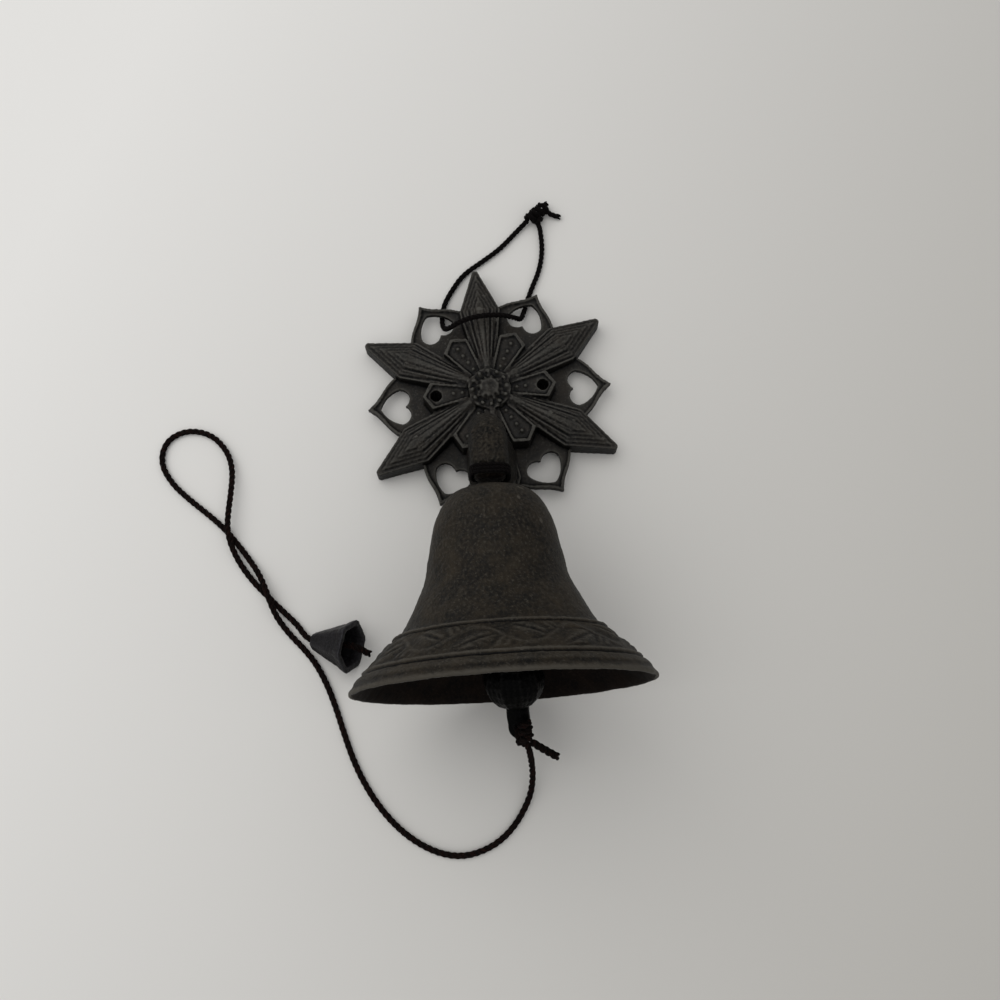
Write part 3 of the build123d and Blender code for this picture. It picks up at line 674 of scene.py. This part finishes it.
# %% The knot of the hanging loop
hanging_knot_at = Matrix.Translation((28.7, 79.1, 3.1)) @ turned(38, "Z")
hanging_core_at = Matrix.Translation((28.6, 77.4, 2.8)) @ turned(-70, "Z")
hanging_knot = knot("hanging_cord_knot", [
    [hanging_loop_route[0], *coil(hanging_knot_at, radius=2.0, length=8.6, turns=3.6),
     (32.4, 81.8, 3.4), (32.6, 82.8, 2.6), (33.4, 83.8, 1.6)],
    [hanging_loop_route[-1], *coil(hanging_core_at, radius=1.2, length=6.4, turns=2.4, start=90),
     (29.6, 79.6, 4.6), (33.0, 79.4, 3.0), (35.0, 78.2, 1.6), (38.4, 77.2, 1.3)],
], thin_cord_d, thin_lay)
finished(hanging_knot, thin_yarn, "plate", "thin_cord", "hanging_knot")

# %% [markdown]
# The weight is a fluted cone that lies on its side, so its line tilts until one flat of its skin rests on
# the table. The cord goes in at its neck, and a knot too thick for the neck holds it. The knot's tail
# comes out of the mouth.

# %% The weight's line and its knot
weight_mouth_r = 10.2
weight_neck_r = 3.4
weight_length = 16.4
weight_mouth_at = (-61.4, -92.2)
weight_turn = -17.5         # degrees
side_share = math.cos(math.radians(30))     # a flat's distance from the line, as a share of a corner's
weight_tilt = math.degrees(math.atan((weight_mouth_r - weight_neck_r) * side_share / weight_length))
mouth_z = weight_mouth_r * side_share * math.cos(math.radians(weight_tilt))
weight_at = (Matrix.Translation((*weight_mouth_at, mouth_z)) @ turned(weight_turn, "Z")
             @ turned(-weight_tilt, "Y") @ Matrix.Translation((-weight_length, 0, 0)))

inner_knot_s = 6.45         # along the weight's line from its neck
inner_knot_d = 2.7          # the knotted end has opened a little
inner_fray_mm = 0.8
inner_knot_at = weight_at @ Matrix.Translation((inner_knot_s, 0, 0))
weight_knot = knot("weight_cord_knot", [
    [pull_cord_route[-1], *coil(inner_knot_at, radius=1.35, length=3.8, turns=1.6),
     inner_knot_at @ Vector((4.0, 0, 0)), (-61.6, -91.6, 8.9), (-58.6, -93.4, 8.6), (-55.4, -95.4, 6.4)],
], inner_knot_d, pull_lay, frayed=inner_fray_mm)
finished(weight_knot, pull_yarn, "plate", "pull_cord", "weight_knot")
print("the weight tilts by", round(weight_tilt, 1), "degrees")

# %% [markdown]
# The arm's tip has a groove with three turns of thin cord. They lie in it as one long coil, and the
# coil's round is pushed out to the tip's section, which is a rectangle with rounded corners.

# %% The lashing
lash_cord_d = 1.4
lash_lay = 4.4
groove_half_x = 6.55
groove_half_z = 6.85
lash_first = -46.3
lash_pitch = 1.15
lash_turns = 3
lash_steps = 28             # points of the route in one turn
corner_power = 2 / 3.6      # a rounded rectangle is a circle with its corners pushed out


def pushed(value):
    """A sine or cosine, pushed towards 1 or -1."""
    return math.copysign(abs(value) ** corner_power, value)


lash_points = []
for i in range(lash_turns * lash_steps + 1):
    a = 2 * math.pi * i / lash_steps
    lash_points.append(hang @ Vector((groove_half_x * pushed(math.sin(a)),
                                      lash_first + lash_pitch * (i / lash_steps),
                                      axis_z - groove_half_z * pushed(math.cos(a)))))
lashing = knot("arm_tip_lashing", [lash_points], lash_cord_d, lash_lay, frayed=0)
finished(lashing, thin_yarn, "plate", "thin_cord", "arm_lashing")

# %% [markdown]
# From the lashing one strand goes down through the bell's crown to a knot inside, and under it the
# clapper hangs on a cord of its own, with a loop through its eye.

# %% The inner cords
eye_loop_at = 48.1          # along the clapper's line from its pivot
eye_loop_r = 2.6

crown_knot_at = down_the_bell @ Matrix.Translation((clapper_s, 0, 0))
crown_strand = knot("crown_strand", [
    [down_the_bell @ Vector((-1.5, 0, 0)), down_the_bell @ Vector((1.0, 0.2, 0)),
     *coil(crown_knot_at, radius=2.0, length=3.4, turns=1.5)],
], thin_cord_d, thin_lay, frayed=0)
finished(crown_strand, thin_yarn, "bell", "thin_cord", "crown_cord")

eye_ring = down_the_clapper @ Matrix.Translation((eye_loop_at, 0, 0)) @ turned(90, "X")
clapper_strand = knot("clapper_strand", [
    [down_the_clapper @ Vector((3.6, 0, 0)), down_the_clapper @ Vector((18, 0.15, 0.1)),
     down_the_clapper @ Vector((32, -0.1, 0.1)), *ring(eye_ring, eye_loop_r, start=180)],
], thin_cord_d, thin_lay, frayed=0)
finished(clapper_strand, thin_yarn, "clapper", "thin_cord", "clapper_hanger")

# %% [markdown]
# The plate's form is right in the CAD model, and its copy only needs the skin of a casting. On the real
# plate three shallow flutes run up each side of a petal's middle, and the boss is a rosette worn to lumps.
# Flutes so soft would take many faces in a solid, so the fine skin is pushed in along them here, and a
# noise moves the skin of the boss.

# %% The plate
first_petal = 90            # degrees
petal_angle = 60
petal_foot_r = 11
petal_wide_r = 38.0
petal_half_w = 9.5          # at the widest place
petal_face_z = 5.6          # the petals' faces are higher than this
least_facing = 0.3          # and point up at least so much
flute_shares = (0.2, 0.5, 0.8)          # of the petal's half width
flute_depth = 0.55
flute_width = 0.42
foot_fade = 5               # lengths in which a flute dies out at the foot and at the widest place
wide_fade = 6
boss_face_z = 11
boss_r = 9.2
boss_lump_mm = 1.8
boss_lump_height = 0.45


def hump(distance, width):
    """A smooth hump: 1 in its middle, about a third at its width and nearly 0 at twice its width."""
    return math.exp(-(distance / width) ** 2)


def flute(x, y):
    """Depth of the petals' flutes at a place on the plate."""
    from_axis = math.degrees(math.atan2(y, x)) - first_petal
    from_axis = (from_axis + petal_angle / 2) % petal_angle - petal_angle / 2
    across = abs(math.hypot(x, y) * math.sin(math.radians(from_axis)))
    along = math.hypot(x, y) * math.cos(math.radians(from_axis))
    half = petal_half_w * along / petal_wide_r
    near = min(abs(across - share * half) for share in flute_shares)
    fade = min(1.0, (along - petal_foot_r) / foot_fade, (petal_wide_r - along) / wide_fade)
    return flute_depth * max(fade, 0) * hump(near, flute_width)


plate = copy_of("wall_plate", "plate_casting")
sand_cast(plate, voxel=0.4, smooth_rounds=1, waves=0.2, grains=0.16)
plate_normals = [vertex.normal.copy() for vertex in plate.data.vertices]
for vertex, normal in zip(plate.data.vertices, plate_normals):
    x, y, z = vertex.co / mm
    radius = math.hypot(x, y)
    if normal.z > least_facing and z > petal_face_z and petal_foot_r < radius < petal_wide_r:
        vertex.co.z -= flute(x, y) * mm
    if z > boss_face_z and radius < boss_r:
        vertex.co += boss_lump_height * mm * noise.noise(vertex.co / (boss_lump_mm * mm)) * normal
rest_on_table(plate)
finished(plate, plate_iron, "plate", "plate_iron", "wall_plate")

# %% [markdown]
# The arm was cast in a mould of two halves, and a faint seam is left on its front. Its back is a round
# hump. The CAD arm is flatter there, so its copy is smoothed more than the others, and then its back is
# pushed up and the seam is drawn as a thin ridge. It could be sculpted, but a rule in the arm's own
# directions gives the same form each time. Beyond the lashing the faces take the nearly black iron, a
# painted shade on the tip's end.

# %% The arm
dome_y, dome_y_fade = -31, 8    # where the back's hump begins, and the length in which it is full
dome_z, dome_z_fade = 36, 12
dome_width = 4.6
dome_height = 2.6
seam_x = -0.6
seam_z, seam_fade = 52, 3
seam_width = 0.5
seam_height = 0.35
shaded_tip_y = -46.2


def in_metres(place):
    """The same placement for points in metres."""
    return Matrix.Scale(mm, 4) @ place @ Matrix.Scale(1 / mm, 4)


def share_of(value, low, length):
    """How far a value has come along a stretch, from 0 to 1."""
    return min(1.0, max(0.0, (value - low) / length))


arm = copy_of("bracket_arm", "arm_casting")
soften(arm, voxel=0.6, smooth_rounds=12)
to_hang = in_metres(hang).inverted()
from_hang = to_hang.inverted()
for vertex in arm.data.vertices:
    place = to_hang @ vertex.co
    back = share_of(place.y / mm, dome_y, dome_y_fade) * share_of(place.z / mm, dome_z, dome_z_fade)
    crest = hump(place.x / mm, dome_width)
    seam = seam_height * hump(place.x / mm - seam_x, seam_width) * share_of(place.z / mm, seam_z, seam_fade)
    place.y += (dome_height * back * crest) * mm
    place.z += seam * mm
    vertex.co = from_hang @ place
sand_cast(arm, voxel=0.32, smooth_rounds=6, waves=0.9, grains=0.4, limit=150000)
finished(arm, arm_iron, "plate", "arm_iron", "bracket_arm")
# painted shade: the faces beyond the lashing take the nearly black iron
arm.data.materials.append(painted_shade_iron)
for face in arm.data.polygons:
    face.material_index = int((to_hang @ face.center).y < shaded_tip_y * mm)

# %% [markdown]
# The clapper is a small casting with an eye, a ball and a lug. Ten ribs run over the ball like a melon's,
# and the CAD ball is plain. Ribs could be modelled one by one and copied round. Here the skin is fine
# enough to be moved out and in by a cosine round the clapper's line, and the cosine's third power keeps
# the ribs narrow, with flatter ground between them.

# %% The clapper
rib_count = 10
rib_height = 0.3
rib_power = 3
ball_at = 63.0              # along the clapper's line from its pivot
ball_r = 10.7
pole_r, pole_fade = 4.5, 2  # the ribs begin this far off the line, and the length in which they are full

clapper = copy_of("clapper", "clapper_casting")
sand_cast(clapper, voxel=0.25, smooth_rounds=3, waves=0.5, grains=0.25, limit=120000)
to_clapper = in_metres(down_the_clapper).inverted()
from_clapper = to_clapper.inverted()
for vertex in clapper.data.vertices:
    place = to_clapper @ vertex.co
    off_axis = math.hypot(place.y, place.z) / mm
    if abs(place.x / mm - ball_at) < ball_r and off_axis > pole_r:
        ribs = math.cos(rib_count * math.atan2(place.z, place.y)) ** rib_power
        rise = rib_height * ribs * share_of(off_axis, pole_r, pole_fade)
        scale = 1 + rise / off_axis
        vertex.co = from_clapper @ Vector((place.x, place.y * scale, place.z * scale))
finished(clapper, clapper_iron, "clapper", "clapper_iron", "clapper")

# %% [markdown]
# The weight is a thin cone with a thick round rim at its mouth. The CAD cone's wall is even, so near the
# mouth the outer skin is pushed out and the inner skin in. A ring could be joined on, but it would leave
# a crease, and pushing keeps one skin. The finest voxels keep its small flutes.

# %% The weight
rim_width = 3.4
rim_proud = 0.4
rim_power = 4               # a high power gives a full round rim, and 1 would give a ridge

weight = copy_of("pull_weight", "weight_casting")
soften(weight, voxel=0.25, smooth_rounds=8)
to_weight = in_metres(weight_at).inverted()
from_weight = to_weight.inverted()
skin_normals = [vertex.normal.copy() for vertex in weight.data.vertices]
for vertex, normal in zip(weight.data.vertices, skin_normals):
    place = to_weight @ vertex.co
    from_mouth = abs(place.x / mm - weight_length)
    out = Vector((0, place.y, place.z)).normalized()
    proud = rim_proud if (to_weight.to_3x3() @ normal).dot(out) > 0 else -rim_proud
    near_rim = max(0.0, 1 - (from_mouth / rim_width) ** rim_power)
    vertex.co = from_weight @ (place + out * proud * mm * near_rim)
sand_cast(weight, voxel=0.2, smooth_rounds=6, waves=0.4, grains=0.25, limit=120000)
rest_on_table(weight)
finished(weight, weight_iron, "plate", "weight_iron", "pull_weight")

# %% [markdown]
# A countersunk screw holds the arm from behind. It is turned steel, left bare: bright grey with a faint
# stain and a fine uneven skin. Its CAD node is right as it is, and only takes this finish.

# %% The screw behind the arm
stain_mm = 3
mark_mm = 0.4               # turning marks are finer, and drawn coarser so that they show
mark_depth = 0.05 * mm


def turned_steel():
    """Plain steel with a faint stain and fine marks."""
    steel = blank("turned_steel")
    place = add(steel, "ShaderNodeTexCoord").outputs["Object"]
    stain = add(steel, "ShaderNodeTexNoise", {"Vector": place, "Scale": per_metre(stain_mm), "Detail": 4.0})
    marks = add(steel, "ShaderNodeTexNoise", {"Vector": place, "Scale": per_metre(mark_mm), "Detail": 2.0})
    colour = add(steel, "ShaderNodeMix",
                 {factor: stain.outputs["Fac"], under: linear("#6f6d69"), over: linear("#8d8b87")},
                 data_type="RGBA")
    rough = add(steel, "ShaderNodeMapRange", {"Value": stain.outputs["Fac"], "To Min": 0.3, "To Max": 0.5})
    bump = add(steel, "ShaderNodeBump",
               {"Height": marks.outputs["Fac"], "Strength": 0.3, "Distance": mark_depth})
    shader = add(steel, "ShaderNodeBsdfPrincipled",
                 {"Base Color": colour.outputs[mixed], "Metallic": 1.0, "Roughness": rough.outputs["Result"],
                  "Normal": bump.outputs["Normal"]})
    add(steel, "ShaderNodeOutputMaterial", {"Surface": shader.outputs["BSDF"]})
    return steel


for screw_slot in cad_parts["arm_screw"].material_slots:
    screw_slot.material = turned_steel()
    print("the screw is", screw_slot.material.name)

# %% [markdown]
# The bell is a turned shape, so its section is drawn once and spun round its axis. The outside is a
# smooth curve from the crown to the band, then the band with a bead at each edge and a sunk field, then
# the lip, and the inside is a curve back up. Each point is a distance down from the crown and a radius.

# %% The bell's section
crown_hole_r = 2.3
band_top = (50.5, 34.3)
band_end = (61.9, 45.6)
outward = Vector((-0.70, 0.715))        # square to the band
skin_points = [(0, crown_hole_r), (-0.05, 4.2), (0.0, 6.5), (1.2, 11.2), (3.6, 15.15), (8.0, 18.2),
               (14.0, 20.6), (24.0, 22.6), (32.5, 24.3), (40.0, 27.8), (48.2, 32.15), band_top]
lip_points = [(62.2, 45.7), (62.7, 47.0), (64.0, 48.3), (65.4, 48.9), (66.8, 50.2), (67.7, 50.3),
              (68.0, 50.0), (67.9, 48.6), (67.0, 47.3)]
inner_points = [(67.0, 47.3), (61.5, 42.2), (49.5, 29.4), (40.5, 24.6), (32.5, 21.3), (24.0, 19.6),
                (14.0, 17.6), (8.6, 15.8), (5.0, 13.2), (3.2, 9.5), (3.0, crown_hole_r)]
outer_step = 0.5
inner_step = 2.0
band_rows = 44
bead_from, bead_to = 0.015, 0.075       # shares of the band's width, from its nearer edge
field_from = 0.095
bead_proud = 0.75
groove_proud = 0.1
field_proud = 0.25


def through(points, step):
    """A smooth line through the points, in even steps."""
    places = [Vector((*point, 0)) for point in points]
    ends = [2 * places[0] - places[1], *places, 2 * places[-1] - places[-2]]
    line = [places[0]]
    for a, b, c, d in zip(ends, ends[1:], ends[2:], ends[3:]):
        for i in range(1, points_between + 1):
            t = i / points_between
            line.append(0.5 * (2 * b + (c - a) * t + (2 * a - 5 * b + 4 * c - d) * t * t
                               + (3 * b - a - 3 * c + d) * t ** 3))
    return [(place.x, place.y) for place in evenly(line, step)]


def proud_of(share, proud):
    """A point of the band, at a share of its width, that stands this far out of the bell's skin."""
    place = Vector(band_top).lerp(Vector(band_end), share) + proud * outward
    return (place.x, place.y)


band = []
for i in range(band_rows + 1):
    share = i / band_rows
    edge = min(share, 1 - share)
    proud = bead_proud if bead_from < edge < bead_to else field_proud if edge >= field_from else groove_proud
    band.append(proud_of(share, proud))
outer = through(skin_points, outer_step)
lip = through(lip_points, outer_step)
inner = through(inner_points, inner_step)
section = outer[:-1] + band + lip[:-1] + inner
print("bell section", len(section), "points")

# %% [markdown]
# The band carries a running scroll: a waving stem with two large and two small leaves in each period.
# It could be carved by hand, but a rule for its height at every place repeats it evenly round the bell,
# as the pattern maker's stamps did.

# %% The scroll of leaves
leaf_count = 8                      # periods round the bell
leaf_pitch = 1.95                   # length of one period in band widths
stem_wave = 0.27                    # these and the next are in band widths too
stem_width = 0.08
stem_height = 0.45                  # heights are shares of a large leaf's
leaf_half_length = 0.36
leaf_half_width = 0.2
leaf_roundness = 4
vein_width = 0.045
vein_depth = 0.55
field_edge = 0.13                   # no leaf is nearer to the band's edges than this
field_fade = 0.05
leaves = [(0.27, 0.37, 0.45, 1.0), (0.77, 0.63, -0.45, 1.0),
          (0.02, 0.72, -1.0, 0.62), (0.52, 0.28, 1.0, 0.62)]    # place along, across, lean in radians, size


def leaf_relief(turn, across):
    """Height of the scroll at a share of a turn and a share of the band's width: a wave and its leaves."""
    u = (turn * leaf_count) % 1.0
    stem = 0.5 + stem_wave * math.sin(2 * math.pi * u)
    height = stem_height * hump(across - stem, stem_width)
    for leaf_u, leaf_v, lean, size in leaves:
        ahead = ((u - leaf_u + 0.5) % 1.0 - 0.5) * leaf_pitch
        aside = across - leaf_v
        along = ahead * math.cos(lean) + aside * math.sin(lean)
        off = aside * math.cos(lean) - ahead * math.sin(lean)
        far = math.hypot(along / (leaf_half_length * size), off / (leaf_half_width * size))
        vein = 1 - vein_depth * hump(off, vein_width)
        height = max(height, size * vein * math.exp(-far ** leaf_roundness))
    return height * share_of(min(across, 1 - across), field_edge, field_fade)


print("height over a leaf", round(leaf_relief(leaves[0][0] / leaf_count, leaves[0][1]), 2))

# %% [markdown]
# The section's ring of points starts as a circle primitive, and its points are moved onto the outline.
# Spin sweeps it round the axis, and the doubles are merged where the sweep closes. The leaves are then
# raised from the band, and the skin gets the waves and the grain of a casting.

# %% The bell's form
bell_columns = 384
leaf_height = 0.8
least_proud = 0.2           # of the band's outer skin, and the bell's inside is below it

deselect()
bpy.ops.mesh.primitive_circle_add(vertices=len(section), radius=mm, fill_type="NOTHING")
bell = bpy.context.object
bell.name = "bell_casting"
for vertex, (distance, radius) in zip(bell.data.vertices, section):
    vertex.co = (radius * mm, 0, -distance * mm)
bpy.ops.object.mode_set(mode="EDIT")
bpy.ops.mesh.select_all(action="SELECT")
bpy.ops.mesh.spin(steps=bell_columns, angle=2 * math.pi, center=(0, 0, 0), axis=(0, 0, 1))
bpy.ops.mesh.select_all(action="SELECT")
bpy.ops.mesh.remove_doubles(threshold=merge_within)
bpy.ops.mesh.normals_make_consistent(inside=False)
bpy.ops.object.mode_set(mode="OBJECT")

band_line = Vector(band_end) - Vector(band_top)
for vertex in bell.data.vertices:
    radius = math.hypot(vertex.co.x, vertex.co.y) / mm
    from_top = Vector((-vertex.co.z / mm, radius)) - Vector(band_top)
    across = from_top.dot(band_line) / band_line.length_squared
    if 0 < across < 1 and from_top.dot(outward) > least_proud:
        around = math.atan2(vertex.co.y, vertex.co.x)
        rise = leaf_height * leaf_relief(around / (2 * math.pi), across) * mm
        vertex.co += rise * Vector((outward.y * math.cos(around), outward.y * math.sin(around), -outward.x))
roughen(bell, waves=0.5, grains=0.28)
smooth_shade(bell)

# %% [markdown]
# The inside takes the nearly black iron, painted shade as under the bell's own wall. Its faces are found
# while the bell still stands upright round the origin: they look towards the axis, or down from the crown.
# Then the mesh is moved to the hanging line.

# %% The bell's inside and its place
facing_axis = -0.1          # an inner face points outwards less than this
facing_down = -0.6          # and the crown's inner face points up less than this
crown_reach = 40            # the lip faces down too, but further out

inner_faces = []
for face in bell.data.polygons:
    radius = math.hypot(face.center.x, face.center.y)
    facing_out = (face.normal.x * face.center.x + face.normal.y * face.center.y) / radius
    in_the_crown = face.normal.z < facing_down and radius < crown_reach * mm
    inner_faces.append(facing_out < facing_axis or in_the_crown)
bell.data.transform(in_metres(down_the_bell @ turned(-90, "Y")))
rest_on_table(bell)
finished(bell, bell_iron, "bell", "bell_iron", "bell")
# painted shade: the inner faces take the nearly black iron
bell.data.materials.append(painted_shade_iron)
for face, inside in zip(bell.data.polygons, inner_faces):
    face.material_index = int(inside)
print("bell", [round(v, 4) for v in bell.dimensions], "with", sum(inner_faces), "inner faces")

# %% [markdown]
# The table is a sheet of pale paper. Its colour is painted a little greyer towards the lower right, as
# painted shade where less light comes.

# %% The table
floor_size = 6
shade_turn = math.radians(28)
shade_scale = 2.0           # from the lightest to the darkest in half a metre
shade_middle = 0.5


def pale_paper_painted_shade():
    """A pale sheet with painted shade that makes it a little greyer towards the lower right."""
    paper = blank("pale_paper_painted_shade")
    place = add(paper, "ShaderNodeTexCoord").outputs["Object"]
    across = add(paper, "ShaderNodeMapping",
                 {"Vector": place, "Location": (shade_middle, shade_middle, 0),
                  "Rotation": (0, 0, shade_turn), "Scale": (shade_scale, shade_scale, shade_scale)})
    slope = add(paper, "ShaderNodeTexGradient", {"Vector": across.outputs["Vector"]})
    # painted shade: the paper's colour darkens along this slope
    shade = add(paper, "ShaderNodeValToRGB", {"Fac": slope.outputs["Fac"]},
                stops=[(0.1, linear("#e7e5e0")), (1.0, linear("#bbb8b1"))])
    shader = add(paper, "ShaderNodeBsdfPrincipled",
                 {"Base Color": shade.outputs["Color"], "Roughness": 0.9, "Specular IOR Level": 0.2})
    add(paper, "ShaderNodeOutputMaterial", {"Surface": shader.outputs["BSDF"]})
    return paper


deselect()
bpy.ops.mesh.primitive_plane_add(size=floor_size)
floor = bpy.context.object
floor.name = "floor"
floor.data.materials.append(pale_paper_painted_shade())
print("floor", floor_size, "m")

# %% [markdown]
# The light is a large soft lamp above on the left and an even sky that is brighter overhead, so the
# shadows stay faint, as under a ceiling of clouded windows. A sun would draw hard shadows, which the
# photograph doesn't have.

# %% The light
lamp_place = (-0.6, 0.3, 0.95)
lamp_aim = (-0.03, -0.05, 0)
lamp_size = 1.2
lamp_power = 4.5
horizon, overhead = 0.35, 0.95      # strengths of the sky

bpy.ops.object.light_add(type="AREA", location=lamp_place)
lamp = bpy.context.object
lamp.name = "window"
lamp.data.size = lamp_size
lamp.data.energy = lamp_power
lamp.rotation_euler = (Vector(lamp_aim) - lamp.location).to_track_quat("-Z", "Y").to_euler()

sky = bpy.data.worlds.new("even_sky")
bpy.context.scene.world = sky
sky.use_nodes = True
background = sky.node_tree.nodes["Background"]
background.inputs["Color"].default_value = linear("#f6f7fa")
height = add(sky, "ShaderNodeSeparateXYZ", {"Vector": add(sky, "ShaderNodeTexCoord").outputs["Generated"]})
strength = add(sky, "ShaderNodeMapRange",
               {"Value": height.outputs["Z"], "From Min": 0.0, "From Max": 1.0, "To Min": horizon,
                "To Max": overhead})
sky.node_tree.links.new(strength.outputs["Result"], background.inputs["Strength"])
print("lamp", lamp_power, "W, and a sky of", horizon, "to", overhead)
